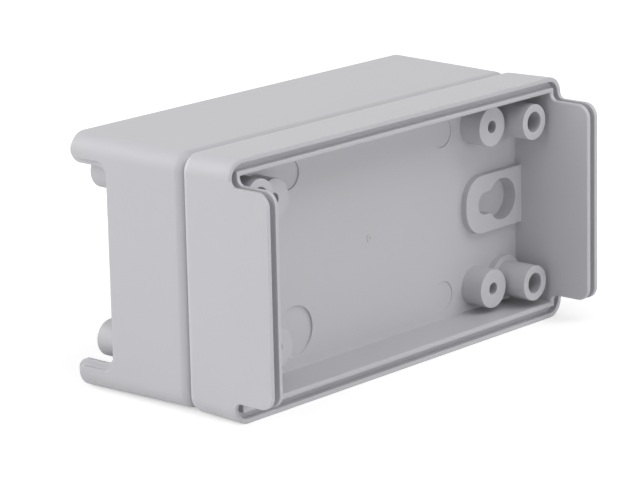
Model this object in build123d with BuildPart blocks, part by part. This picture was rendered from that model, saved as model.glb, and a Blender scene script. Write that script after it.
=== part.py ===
"""Two-part moulded electronics enclosure, taken apart and stood on its long edges, back to back.

The shallow base tray opens towards -Y and the deep cover opens towards +Y. X runs along the length,
Z is up. The origin is at the bottom centre of both halves together. Sizes are in millimetres.
"""
import os
from math import radians, tan

from build123d import *

# Outline that both halves share at the joint line
box_length = 107.0
box_width = 55.0
corner_radius = 4.0

# Depths, each measured from the closed face outwards
tray_depth = 13.7
cover_depth = 31.5
floor_thickness = 3.5
floor_edge_radius = 2.1

# Draft of the outer walls and of the cavities, in degrees, and the tray's straight band below its rim
tray_draft = 1.2
cover_draft = 0.8
core_draft = 0.4
tray_band = 1.0

# The rim is two thin lips with a groove between them, so the wall is as thick as all three
outer_lip = 1.0
groove_width = 1.5
inner_lip = 1.0
groove_depth = 1.6
wall = outer_lip + groove_width + inner_lip

# The cover carries a tongue that enters the groove
tongue_side_clearance = 0.2
tongue_height = 1.3

# The tray's end walls rise to a wide tab, and the cover's end walls are cut back to match
tab_height = 10.2
tab_shoulder = 5.2
tab_corner_radius = 3.0
tab_root_radius = 1.5
tab_clearance = 0.15

# Bosses that carry the circuit board, with pilot holes for its screws; the right pair is wider apart
board_right_x = 35.0
board_right_span = 36.7
board_left_x = -35.5
board_left_span = 31.5
board_boss_diameter = 8.8
board_boss_height = 5.6
board_pilot_diameter = 2.7
board_pilot_depth = 6.5

# Tubes in the tray for the four closing screws, each on a collar round the screw head's recess
screw_span_x = 88.6
screw_span_z = 36.7
tube_diameter = 8.0
tube_bore = 4.6
tube_below_rim = 0.2
collar_diameter = 10.2
collar_height = 1.8
head_recess_diameter = 7.6
head_recess_depth = 3.6

# Posts in the cover that the closing screws bite into
post_diameter = 8.0
post_below_rim = 0.3
post_pilot_diameter = 3.2
post_pilot_depth = 16.0

# Pads on the tray's floor with a keyhole pocket that a thin web closes at the back
pad_reach = 19.2
pad_width = 13.2
pad_height = 1.6
pad_corner_radius = 5.6
keyhole_web = 1.6
keyhole_inset = 6.6
keyhole_diameter = 9.4
keyhole_slot_width = 5.0
keyhole_slot_run = 5.9

# Places along Y, worked out from the depths
reach_front = tray_depth + tab_height
reach_back = cover_depth + tongue_height
meeting_y = (reach_front - reach_back) / 2
tray_rim_y = meeting_y - tray_depth
tab_top_y = tray_rim_y - tab_height
tray_floor_y = meeting_y - floor_thickness
pad_top_y = tray_floor_y - pad_height
cover_floor_y = meeting_y + floor_thickness
cover_rim_y = meeting_y + cover_depth
recess_y = cover_rim_y - tab_height - tab_clearance
tongue_top_y = cover_rim_y + tongue_height

# Heights of the tubes and posts above their floors
tube_height = tray_depth - floor_thickness - tube_below_rim
post_height = cover_depth - floor_thickness - post_below_rim

# Places of the bosses and screws on planes that are centred on the outline
board_places = [
    (board_right_x, board_right_span / 2),
    (board_right_x, -board_right_span / 2),
    (board_left_x, board_left_span / 2),
    (board_left_x, -board_left_span / 2),
]
screw_places = [
    (screw_span_x / 2, screw_span_z / 2),
    (screw_span_x / 2, -screw_span_z / 2),
    (-screw_span_x / 2, screw_span_z / 2),
    (-screw_span_x / 2, -screw_span_z / 2),
]


def facing_front(y):
    """Plane square to Y, centred on the outline, whose normal points out of the tray's mouth."""
    return Plane(origin=(0, y, box_width / 2), x_dir=(1, 0, 0), z_dir=(0, -1, 0))


def facing_back(y):
    """Plane square to Y, centred on the outline, whose normal points out of the cover's mouth."""
    return Plane(origin=(0, y, box_width / 2), x_dir=(-1, 0, 0), z_dir=(0, 1, 0))


def outer_outline(inset):
    """The joint-line outline drawn smaller by an inset, with rounded corners, in the current sketch."""
    RectangleRounded(box_length - 2 * inset, box_width - 2 * inset, corner_radius - inset)


def inner_outline(inset):
    """Cuts the same outline with the square corners of the inner lip from the current sketch."""
    Rectangle(box_length - 2 * inset, box_width - 2 * inset, mode=Mode.SUBTRACT)


def side_view(low_y, high_y, shoulder, root_radius, crest_radius):
    """Region across the width whose edge runs at low_y by both long edges and at high_y between.

    The two levels are joined by S-curves a shoulder's distance from each long edge, and the region
    reaches back to where the two halves meet.
    """
    with BuildSketch(Plane.YZ) as side:
        with BuildLine():
            FilletPolyline(
                (low_y, 0),
                (low_y, shoulder),
                (high_y, shoulder),
                (high_y, box_width - shoulder),
                (low_y, box_width - shoulder),
                (low_y, box_width),
                radius=[root_radius, crest_radius, crest_radius, root_radius],
            )
            Polyline((low_y, box_width), (meeting_y, box_width), (meeting_y, 0), (low_y, 0))
        make_face()
    return side.sketch


def tray_side(inset):
    """Side view of the tray up to its rim, or to a line that follows the rim an inset below it."""
    return side_view(
        tray_rim_y + inset,
        tab_top_y + inset,
        tab_shoulder + inset,
        tab_root_radius + inset,
        tab_corner_radius - inset,
    )


def cover_side(growth):
    """Side view of the cover up to its rim, or to a line that follows the rim a growth above it."""
    return side_view(
        cover_rim_y + growth,
        recess_y + growth,
        tab_shoulder - tab_clearance + growth,
        tab_root_radius - tab_clearance + growth,
        tab_corner_radius + tab_clearance - growth,
    )


def circles(plane, places, diameter):
    """A circle at each place on the plane."""
    with BuildSketch(plane) as rounds:
        with Locations(*places):
            Circle(diameter / 2)
    return rounds.sketch


def drafted_block(mouth_y, depth, inset, draft, turn, mode):
    """Block that narrows by the draft from its mouth, an inset outline, down to its full depth.

    The depth runs towards +Y, or towards -Y with half a turn about Z.
    """
    length = box_length - 2 * inset
    width = box_width - 2 * inset
    lean = depth * tan(radians(draft))
    with BuildPart() as block:
        with Locations((0, mouth_y, box_width / 2)):
            Wedge(
                length,
                depth,
                width,
                lean,
                lean,
                length - lean,
                width - lean,
                rotation=(0, 0, turn),
                align=(Align.CENTER, Align.MIN, Align.CENTER),
            )
    add(block.part, mode=mode)


# Groove between the two lips: their ring, kept only above the groove's bottom line
groove_inset = outer_lip + groove_width
with BuildPart() as groove:
    with BuildSketch(facing_back(tab_top_y)):
        outer_outline(outer_lip)
        inner_outline(groove_inset)
    extrude(amount=tab_height + groove_depth)
    extrude(tray_side(groove_depth), amount=box_length, both=True, mode=Mode.SUBTRACT)

with BuildPart() as base_tray:
    # Outer form: drafted down to the closed face, and straight from the band up to the tab's top
    drafted_block(tray_rim_y + tray_band, tray_depth - tray_band, 0, tray_draft, 0, Mode.ADD)
    fillet(base_tray.edges().group_by(Axis.Y)[1], corner_radius)
    fillet(base_tray.edges().group_by(Axis.Y)[-1], floor_edge_radius)
    extrude(base_tray.faces().sort_by(Axis.Y)[0], amount=tray_band + tab_height)

    # Cavity, then the rim line with its tabs and the groove along it
    drafted_block(tab_top_y, reach_front - floor_thickness, wall, core_draft, 0, Mode.SUBTRACT)
    extrude(tray_side(0), amount=box_length, both=True, mode=Mode.INTERSECT)
    add(groove.part, mode=Mode.SUBTRACT)

    # Board bosses, and screw tubes on their collars, each with its hole
    floor_plane = facing_front(tray_floor_y)
    extrude(circles(floor_plane, screw_places, collar_diameter), amount=collar_height)
    extrude(circles(floor_plane, screw_places, tube_diameter), amount=tube_height)
    extrude(circles(floor_plane, board_places, board_boss_diameter), amount=board_boss_height)
    with Locations(facing_front(tray_floor_y - board_boss_height)):
        with Locations(*board_places):
            Hole(board_pilot_diameter / 2, board_pilot_depth)
    with Locations(facing_back(meeting_y)):
        with Locations(*screw_places):
            CounterBoreHole(tube_bore / 2, head_recess_diameter / 2, head_recess_depth)

    # Keyhole pads that run into the end walls, each with its pocket
    pad_end_x = box_length / 2 - wall - pad_reach
    pad_root_x = box_length / 2 - wall / 2
    with BuildSketch(floor_plane) as pads:
        with Locations(((pad_end_x + pad_root_x) / 2, 0)):
            Rectangle(pad_root_x - pad_end_x, pad_width)
        fillet(pads.vertices().group_by(Axis.X)[0], pad_corner_radius)
        mirror(about=Plane.YZ)
    extrude(amount=pad_height)
    keyhole_x = box_length / 2 - wall - keyhole_inset
    with BuildSketch(facing_front(pad_top_y)):
        with Locations((keyhole_x, 0)):
            Circle(keyhole_diameter / 2)
        with Locations((keyhole_x - keyhole_slot_run / 2, 0)):
            SlotCenterToCenter(keyhole_slot_run, keyhole_slot_width)
        mirror(about=Plane.YZ)
    extrude(amount=-(pad_height + floor_thickness - keyhole_web), mode=Mode.SUBTRACT)
base_tray.part.label = "base_tray"

# Tongue: a ring narrower than the groove, kept only below the tongue's top line
tongue_outer_inset = outer_lip + tongue_side_clearance
tongue_inner_inset = groove_inset - tongue_side_clearance
with BuildPart() as tongue:
    with BuildSketch(facing_front(tongue_top_y)):
        outer_outline(tongue_outer_inset)
        inner_outline(tongue_inner_inset)
    extrude(amount=tab_height + tongue_height + wall)
    extrude(cover_side(tongue_height), amount=box_length, both=True, mode=Mode.INTERSECT)

with BuildPart() as cover:
    # Outer form, drafted from the rim to the closed face
    drafted_block(cover_rim_y, cover_depth, 0, cover_draft, 180, Mode.ADD)
    fillet(cover.edges().group_by(Axis.Y)[1], corner_radius)
    fillet(cover.edges().group_by(Axis.Y)[0], floor_edge_radius)

    # Cavity, then the rim line with its recesses and the tongue along it
    drafted_block(cover_rim_y, cover_depth - floor_thickness, wall, core_draft, 180, Mode.SUBTRACT)
    extrude(cover_side(0), amount=box_length, both=True, mode=Mode.INTERSECT)
    add(tongue.part)

    # Screw posts with their pilot holes
    extrude(circles(facing_back(cover_floor_y), screw_places, post_diameter), amount=post_height)
    with Locations(facing_back(cover_floor_y + post_height)):
        with Locations(*screw_places):
            Hole(post_pilot_diameter / 2, post_pilot_depth)
cover.part.label = "cover"

os.makedirs("parts", exist_ok=True)
export_step(base_tray.part, "parts/base_tray.step")
export_step(cover.part, "parts/cover.step")
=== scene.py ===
"""Looks of a moulded electronics enclosure, its two halves stood back to back on their long edges.

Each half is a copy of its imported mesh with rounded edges, the tray's with mould marks as well, in
satin grey plastic. Lengths are in metres, in the model's own frame: X along the box, -Y out of the
base tray's mouth, Z up.
"""
from math import cos, radians, sin

import bmesh
import bpy
import numpy as np
from mathutils import Matrix, Vector


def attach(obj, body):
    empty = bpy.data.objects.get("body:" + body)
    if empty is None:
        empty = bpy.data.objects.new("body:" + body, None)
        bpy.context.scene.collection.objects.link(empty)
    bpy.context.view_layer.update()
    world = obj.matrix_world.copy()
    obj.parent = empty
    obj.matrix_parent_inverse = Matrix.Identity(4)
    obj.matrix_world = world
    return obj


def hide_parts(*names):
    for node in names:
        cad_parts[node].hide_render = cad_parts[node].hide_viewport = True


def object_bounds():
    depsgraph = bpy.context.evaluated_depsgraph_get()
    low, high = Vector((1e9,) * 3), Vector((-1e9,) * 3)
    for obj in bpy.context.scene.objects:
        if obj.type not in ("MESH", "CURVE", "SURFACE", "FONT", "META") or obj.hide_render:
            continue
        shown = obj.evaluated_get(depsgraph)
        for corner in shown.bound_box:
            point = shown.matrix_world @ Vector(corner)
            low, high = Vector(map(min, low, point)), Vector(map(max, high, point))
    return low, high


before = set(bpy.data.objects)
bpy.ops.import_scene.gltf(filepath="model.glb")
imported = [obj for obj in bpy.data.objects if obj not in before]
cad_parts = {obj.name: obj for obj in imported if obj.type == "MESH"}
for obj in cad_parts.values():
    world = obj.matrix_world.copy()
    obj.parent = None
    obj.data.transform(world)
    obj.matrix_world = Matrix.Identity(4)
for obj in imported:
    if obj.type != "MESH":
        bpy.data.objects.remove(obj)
cad_low, cad_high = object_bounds()

# Camera, solved from the straight edges of the moulding in the photograph
camera_target = Vector((-0.00559, 0.00126, 0.02632))
camera_distance = 0.6782
camera_azimuth = radians(-47.77)
camera_elevation = radians(14.37)
camera_roll = radians(-1.27)
camera_near = 0.01
camera_far = 20.0
focal_length_px = 3164.1
image_width_px = 640
sensor_width_mm = 36.0

# Soft square lamps by name, place, side and power, all turned towards the object's middle
lamp_aim = Vector((0.0, 0.0, 0.0275))
lamps = [
    ("left_softbox", (-1.2, 0.15, 0.6), 1.0, 7.3),
    ("back_softbox", (-0.4, 1.4, 0.5), 0.9, 11.5),
    ("top_softbox", (0.0, -0.6, 1.25), 1.2, 5.7),
    ("front_softbox", (0.0, -1.7, 0.25), 0.5, 5.6),
    ("right_softbox", (0.6, -0.9, 1.1), 0.8, 4.2),
]

# White surround with the light it gives, and the floor's half side, finish and lift towards white
white = (1.0, 1.0, 1.0, 1.0)
surround_strength = 0.25
floor_half_side = 3.0
floor_colour = (0.82, 0.82, 0.82, 1.0)
floor_roughness = 0.9
floor_lift = 0.45

# Satin grey plastic: its colour, its gloss, and the cloudy tone that the melt's flow leaves
plastic_colour = (0.5305, 0.526, 0.552)
plastic_ior = 1.5
glossy_roughness = 0.40
dull_roughness = 0.52
flow_strength = 0.03
flow_scale = 38.0
flow_detail = 5.0
flow_distortion = 0.6

# Spark-eroded grain: its scale and depth, and the coarser noise as shares of the fine one
grain_scale = 4500.0
grain_depth = 0.00004
grain_strength = 0.6
fine_detail = 2.0
coarse_detail = 3.0
coarse_scale_share = 0.3
coarse_height_share = 0.4

# Round marks on the tray's floor: x, z, radius and depth, negative where the mark is raised, then
# how near to a mark's circle its edges lie, and the floor's thickness
mould_marks = [
    (0.02445, 0.0457, 0.0033, 0.0003),
    (0.0241, 0.0089, 0.0033, 0.00022),
    (-0.02505, 0.0457, 0.0033, 0.0004),
    (-0.02414, 0.0118, 0.0055, 0.0005),
    (0.0, 0.027, 0.0009, -0.00014),
    (0.0, 0.0271, 0.00016, 0.00025),
]
mark_tolerance = 0.00005
mark_segments = 72
floor_thickness = 0.0035

# Outline that both halves share, seen along Y, and the thickness of their walls
outline_half_length = (cad_high[0] - cad_low[0]) / 2
outline_half_width = (cad_high[2] - cad_low[2]) / 2
outline_radius = 0.004
wall = 0.0035
wall_tolerance = 0.0003

# Rounding of the crisp edges: the usual radius, the wider one where the tray's rim turns into its
# cavity, and what divides a mould mark's depth to give its own
edge_radius = 0.00016
tray_rim_radius = 0.0004
mark_depth_divisor = 5
rounding_segments = 3

# An edge is crisp from this angle on, and is rounded only where both its faces reach further than
# so many roundings. Faces within the flat angle are joined, and so are corners within the distance.
crisp_angle = radians(35)
room_in_roundings = 2
flat_angle = radians(0.1)
weld_distance = 1e-6


def place_camera():
    """A camera on a sphere round the target, looking at it and rolled about its line of sight."""
    back = Vector((
        sin(camera_azimuth) * cos(camera_elevation),
        -cos(camera_azimuth) * cos(camera_elevation),
        sin(camera_elevation),
    ))
    data = bpy.data.cameras.new("camera")
    data.sensor_width = sensor_width_mm
    data.lens = focal_length_px * sensor_width_mm / image_width_px
    data.clip_start = camera_near
    data.clip_end = camera_far
    camera = bpy.data.objects.new("camera", data)
    upright = back.to_track_quat("Z", "Y").to_matrix()
    rolled = upright @ Matrix.Rotation(camera_roll, 3, "Z")
    place = camera_target + back * camera_distance
    camera.matrix_world = Matrix.LocRotScale(place, rolled, None)
    bpy.context.scene.collection.objects.link(camera)
    bpy.context.scene.camera = camera


def area_light(name, place, side, power):
    """A square lamp at a place, turned towards the lamps' common aim."""
    data = bpy.data.lights.new(name, "AREA")
    data.shape = "SQUARE"
    data.size = side
    data.energy = power
    lamp = bpy.data.objects.new(name, data)
    towards = (lamp_aim - Vector(place)).to_track_quat("-Z", "Y")
    lamp.matrix_world = Matrix.LocRotScale(Vector(place), towards, None)
    bpy.context.scene.collection.objects.link(lamp)


def math_node(nodes, operation):
    """A new Math node that carries out an operation."""
    node = nodes.new("ShaderNodeMath")
    node.operation = operation
    return node


def white_for_the_viewer(nodes, links):
    """1 where the camera, a reflection or a view through glass meets the surface, otherwise 0."""
    path = nodes.new("ShaderNodeLightPath")
    seen = path.outputs["Is Camera Ray"]
    for ray in ("Is Glossy Ray", "Is Transmission Ray"):
        either = math_node(nodes, "MAXIMUM")
        links.new(seen, either.inputs[0])
        links.new(path.outputs[ray], either.inputs[1])
        seen = either.outputs[0]
    return seen


def build_world():
    """An even pale surround that reads as white behind the object."""
    world = bpy.data.worlds.new("surround")
    world.use_nodes = True
    nodes, links = world.node_tree.nodes, world.node_tree.links
    nodes.clear()
    dome = nodes.new("ShaderNodeBackground")
    dome.inputs["Color"].default_value = white
    dome.inputs["Strength"].default_value = surround_strength
    seen = nodes.new("ShaderNodeBackground")
    seen.inputs["Color"].default_value = white
    seen.inputs["Strength"].default_value = 1.0
    mix = nodes.new("ShaderNodeMixShader")
    links.new(white_for_the_viewer(nodes, links), mix.inputs["Fac"])
    links.new(dome.outputs[0], mix.inputs[1])
    links.new(seen.outputs[0], mix.inputs[2])
    out = nodes.new("ShaderNodeOutputWorld")
    links.new(mix.outputs[0], out.inputs["Surface"])
    bpy.context.scene.world = world


def build_floor():
    """A wide pale floor that keeps a soft shadow, lifted towards white for the viewer only."""
    half = floor_half_side
    mesh = bpy.data.meshes.new("floor")
    corners = [(-half, -half, 0.0), (half, -half, 0.0), (half, half, 0.0), (-half, half, 0.0)]
    mesh.from_pydata(corners, [], [(0, 1, 2, 3)])
    floor = bpy.data.objects.new("floor", mesh)
    bpy.context.scene.collection.objects.link(floor)
    material = bpy.data.materials.new("pale_floor")
    material.use_nodes = True
    nodes, links = material.node_tree.nodes, material.node_tree.links
    shader = nodes["Principled BSDF"]
    shader.inputs["Base Color"].default_value = floor_colour
    shader.inputs["Roughness"].default_value = floor_roughness
    shader.inputs["Specular IOR Level"].default_value = 0.0
    glow = nodes.new("ShaderNodeEmission")
    lift = math_node(nodes, "MULTIPLY")
    lift.inputs[1].default_value = floor_lift
    links.new(white_for_the_viewer(nodes, links), lift.inputs[0])
    links.new(lift.outputs[0], glow.inputs["Strength"])
    add = nodes.new("ShaderNodeAddShader")
    links.new(shader.outputs[0], add.inputs[0])
    links.new(glow.outputs[0], add.inputs[1])
    links.new(add.outputs[0], nodes["Material Output"].inputs["Surface"])
    mesh.materials.append(material)


def new_group(name, inputs, outputs):
    """An empty shader node group with its sockets, each given by its name and kind."""
    group = bpy.data.node_groups.new(name, "ShaderNodeTree")
    for way, sockets in (("INPUT", inputs), ("OUTPUT", outputs)):
        for socket, kind in sockets:
            group.interface.new_socket(socket, in_out=way, socket_type=kind)
    start = group.nodes.new("NodeGroupInput")
    end = group.nodes.new("NodeGroupOutput")
    return group, start.outputs, end.inputs


def satin_grain_group():
    """Spark-eroded grain: the height is a fine noise plus a share of a coarser one."""
    group, given, result = new_group(
        "satin_grain",
        [("Vector", "NodeSocketVector"), ("Grain Scale", "NodeSocketFloat")],
        [("Height", "NodeSocketFloat")],
    )
    nodes, links = group.nodes, group.links
    fine = nodes.new("ShaderNodeTexNoise")
    fine.inputs["Detail"].default_value = fine_detail
    coarse = nodes.new("ShaderNodeTexNoise")
    coarse.inputs["Detail"].default_value = coarse_detail
    coarse_scale = math_node(nodes, "MULTIPLY")
    coarse_scale.inputs[1].default_value = coarse_scale_share
    blend = math_node(nodes, "MULTIPLY_ADD")
    blend.inputs[1].default_value = coarse_height_share
    links.new(given["Vector"], fine.inputs["Vector"])
    links.new(given["Grain Scale"], fine.inputs["Scale"])
    links.new(given["Vector"], coarse.inputs["Vector"])
    links.new(given["Grain Scale"], coarse_scale.inputs[0])
    links.new(coarse_scale.outputs[0], coarse.inputs["Scale"])
    links.new(coarse.outputs["Fac"], blend.inputs[0])
    links.new(fine.outputs["Fac"], blend.inputs[2])
    links.new(blend.outputs[0], result["Height"])
    return group


def flow_tone_group():
    """Cloudy tone left by the flow of the melt: 1 plus the strength times a noise round 0.

    The mask is the plain noise, from 0 to 1.
    """
    group, given, result = new_group(
        "flow_tone",
        [("Vector", "NodeSocketVector"), ("Strength", "NodeSocketFloat")],
        [("Tone", "NodeSocketFloat"), ("Mask", "NodeSocketFloat")],
    )
    nodes, links = group.nodes, group.links
    cloud = nodes.new("ShaderNodeTexNoise")
    cloud.inputs["Scale"].default_value = flow_scale
    cloud.inputs["Detail"].default_value = flow_detail
    cloud.inputs["Distortion"].default_value = flow_distortion
    centred = math_node(nodes, "SUBTRACT")
    centred.inputs[1].default_value = 0.5
    scaled = math_node(nodes, "MULTIPLY_ADD")
    scaled.inputs[2].default_value = 1.0
    links.new(given["Vector"], cloud.inputs["Vector"])
    links.new(cloud.outputs["Fac"], centred.inputs[0])
    links.new(centred.outputs[0], scaled.inputs[0])
    links.new(given["Strength"], scaled.inputs[1])
    links.new(scaled.outputs[0], result["Tone"])
    links.new(cloud.outputs["Fac"], result["Mask"])
    return group


def grey_plastic(name, colour):
    """Satin moulded plastic: the flow sets its tone and its gloss, the grain its fine relief."""
    material = bpy.data.materials.new(name)
    material.use_nodes = True
    nodes, links = material.node_tree.nodes, material.node_tree.links
    shader = nodes["Principled BSDF"]
    shader.inputs["IOR"].default_value = plastic_ior
    place = nodes.new("ShaderNodeTexCoord")

    flow = nodes.new("ShaderNodeGroup")
    flow.node_tree = flow_tone
    flow.inputs["Strength"].default_value = flow_strength
    links.new(place.outputs["Object"], flow.inputs["Vector"])
    tint = nodes.new("ShaderNodeVectorMath")
    tint.operation = "SCALE"
    tint.inputs[0].default_value = colour
    links.new(flow.outputs["Tone"], tint.inputs["Scale"])
    links.new(tint.outputs[0], shader.inputs["Base Color"])
    gloss = nodes.new("ShaderNodeMapRange")
    gloss.inputs["To Min"].default_value = glossy_roughness
    gloss.inputs["To Max"].default_value = dull_roughness
    links.new(flow.outputs["Mask"], gloss.inputs["Value"])
    links.new(gloss.outputs[0], shader.inputs["Roughness"])

    grain = nodes.new("ShaderNodeGroup")
    grain.node_tree = satin_grain
    grain.inputs["Grain Scale"].default_value = grain_scale
    links.new(place.outputs["Object"], grain.inputs["Vector"])
    bump = nodes.new("ShaderNodeBump")
    bump.inputs["Strength"].default_value = grain_strength
    bump.inputs["Distance"].default_value = grain_depth
    links.new(grain.outputs["Height"], bump.inputs["Height"])
    links.new(bump.outputs[0], shader.inputs["Normal"])
    return material


def welded_copy(node, name):
    """A copy of a CAD node's mesh whose loose triangles are joined where their corners meet."""
    copy = bpy.data.objects.new(name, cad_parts[node].data.copy())
    bpy.context.scene.collection.objects.link(copy)
    work = bmesh.new()
    work.from_mesh(copy.data)
    bmesh.ops.remove_doubles(work, verts=work.verts, dist=weld_distance)
    work.to_mesh(copy.data)
    work.free()
    return copy


def cylinders_at(marks, floor_y, name):
    """Closed cylinders through the floor, one round the middle of each mark.

    At a turn t a point lies at x + radius sin t and z + radius cos t, and the two ends lie a depth
    in front of the floor and a depth behind it.
    """
    x, z, radius, depth = np.array(marks).T[..., None, None]
    turn = np.linspace(0, 2 * np.pi, mark_segments, endpoint=False)
    end = np.array([[-1], [1]])
    points = np.stack(np.broadcast_arrays(
        x + radius * np.sin(turn), floor_y + end * abs(depth), z + radius * np.cos(turn)
    ), axis=-1)
    corner = np.arange(points.size // 3).reshape(points.shape[:-1])
    front, back = corner[:, 0], corner[:, 1]
    sides = np.stack([front, np.roll(front, -1, 1), np.roll(back, -1, 1), back], axis=-1)
    faces = sides.reshape(-1, 4).tolist() + front[:, ::-1].tolist() + back.tolist()
    mesh = bpy.data.meshes.new(name)
    mesh.from_pydata(points.reshape(-1, 3).tolist(), [], faces)
    cylinders = bpy.data.objects.new(name, mesh)
    bpy.context.scene.collection.objects.link(cylinders)
    return cylinders


def mark_floor(tray):
    """Joins the raised marks to the tray's floor and cuts the sunk ones into it.

    The floor lies its thickness in front of the closed face, where the tray reaches furthest
    along Y.
    """
    floor_y = max(corner[1] for corner in tray.bound_box) - floor_thickness
    raised = cylinders_at([mark for mark in mould_marks if mark[3] < 0], floor_y, "raised_marks")
    sunk = cylinders_at([mark for mark in mould_marks if mark[3] > 0], floor_y, "sunk_marks")
    for marks, operation in ((raised, "UNION"), (sunk, "DIFFERENCE")):
        change = tray.modifiers.new(marks.name, "BOOLEAN")
        change.operation = operation
        change.solver = "EXACT"
        change.object = marks
    marked_tray = tray.evaluated_get(bpy.context.evaluated_depsgraph_get())
    tray.data = bpy.data.meshes.new_from_object(marked_tray)
    tray.modifiers.clear()
    for marks in (raised, sunk):
        bpy.data.objects.remove(marks)


def inset(point):
    """How far inside the box's rounded outline a point lies, seen along Y.

    It is the corner radius less the point's distance from the rectangle through the corners'
    middles, or plus how deep the point lies inside that rectangle.
    """
    along = abs(point.x) - outline_half_length + outline_radius
    across = abs(point.z - outline_half_width) - outline_half_width + outline_radius
    beyond = (max(along, 0.0) ** 2 + max(across, 0.0) ** 2) ** 0.5
    return outline_radius - beyond - min(max(along, across), 0.0)


def middle_of(edge):
    """The point halfway between an edge's two ends."""
    return (edge.verts[0].co + edge.verts[1].co) / 2


def is_rim_edge(edge):
    """True for an outward edge a wall's thickness inside the outline, where the cavity begins."""
    return edge.is_convex and abs(inset(middle_of(edge)) - wall) < wall_tolerance


def mark_under(edge):
    """How deep or high the mark is whose circle an edge lies on, or 0 where it lies on none."""
    middle = middle_of(edge)
    for x, z, radius, depth in mould_marks:
        if abs(((middle.x - x) ** 2 + (middle.z - z) ** 2) ** 0.5 - radius) < mark_tolerance:
            return abs(depth)
    return 0.0


def rounding_of(edge, rim_radius):
    """The radius for a crisp edge: the rim's, a share of a mark's depth, or the usual one."""
    if is_rim_edge(edge):
        return rim_radius
    depth = mark_under(edge)
    return depth / mark_depth_divisor if depth else edge_radius


def room_beside(edge):
    """How far the narrower of an edge's two faces reaches away from it, square to the edge."""
    start = edge.verts[0].co
    along = (edge.verts[1].co - start).normalized()
    reaches = [
        max((vert.co - start).cross(along).length for vert in face.verts)
        for face in edge.link_faces
    ]
    return min(reaches)


def weigh_edges(shell, rim_radius):
    """Joins the flat faces and weighs every crisp edge that has room for its rounding.

    An edge's weight is its rounding as a share of the rim's.
    """
    work = bmesh.new()
    work.from_mesh(shell.data)
    bmesh.ops.dissolve_limit(
        work,
        angle_limit=flat_angle,
        verts=work.verts,
        edges=work.edges,
        use_dissolve_boundaries=False,
    )
    weight = work.edges.layers.float.new("bevel_weight_edge")
    for edge in work.edges:
        if edge.calc_face_angle() >= crisp_angle:
            rounding = rounding_of(edge, rim_radius)
            if room_beside(edge) > room_in_roundings * rounding:
                edge[weight] = rounding / rim_radius
    work.to_mesh(shell.data)
    work.free()


def finish_moulding(shell, node, rim_radius, material):
    """Rounds the weighed edges, shades flat faces flat, and puts the copy in its node's place."""
    weigh_edges(shell, rim_radius)
    shell.data.materials.clear()
    shell.data.materials.append(material)
    shell.data.shade_smooth()
    bevel = shell.modifiers.new("rounded_edges", "BEVEL")
    bevel.width = rim_radius
    bevel.segments = rounding_segments
    bevel.limit_method = "WEIGHT"
    bevel.use_clamp_overlap = False
    shell.modifiers.new("flat_faces_first", "WEIGHTED_NORMAL")
    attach(shell, "root")
    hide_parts(node)


place_camera()
build_world()
build_floor()
for lamp in lamps:
    area_light(*lamp)

satin_grain = satin_grain_group()
flow_tone = flow_tone_group()
plastic = grey_plastic("light_grey_plastic", plastic_colour)
tray_shell = welded_copy("base_tray", "tray_shell")
mark_floor(tray_shell)
finish_moulding(tray_shell, "base_tray", tray_rim_radius, plastic)
cover_shell = welded_copy("cover", "cover_shell")
finish_moulding(cover_shell, "cover", edge_radius, plastic)

bpy.context.scene.view_settings.view_transform = "Standard"
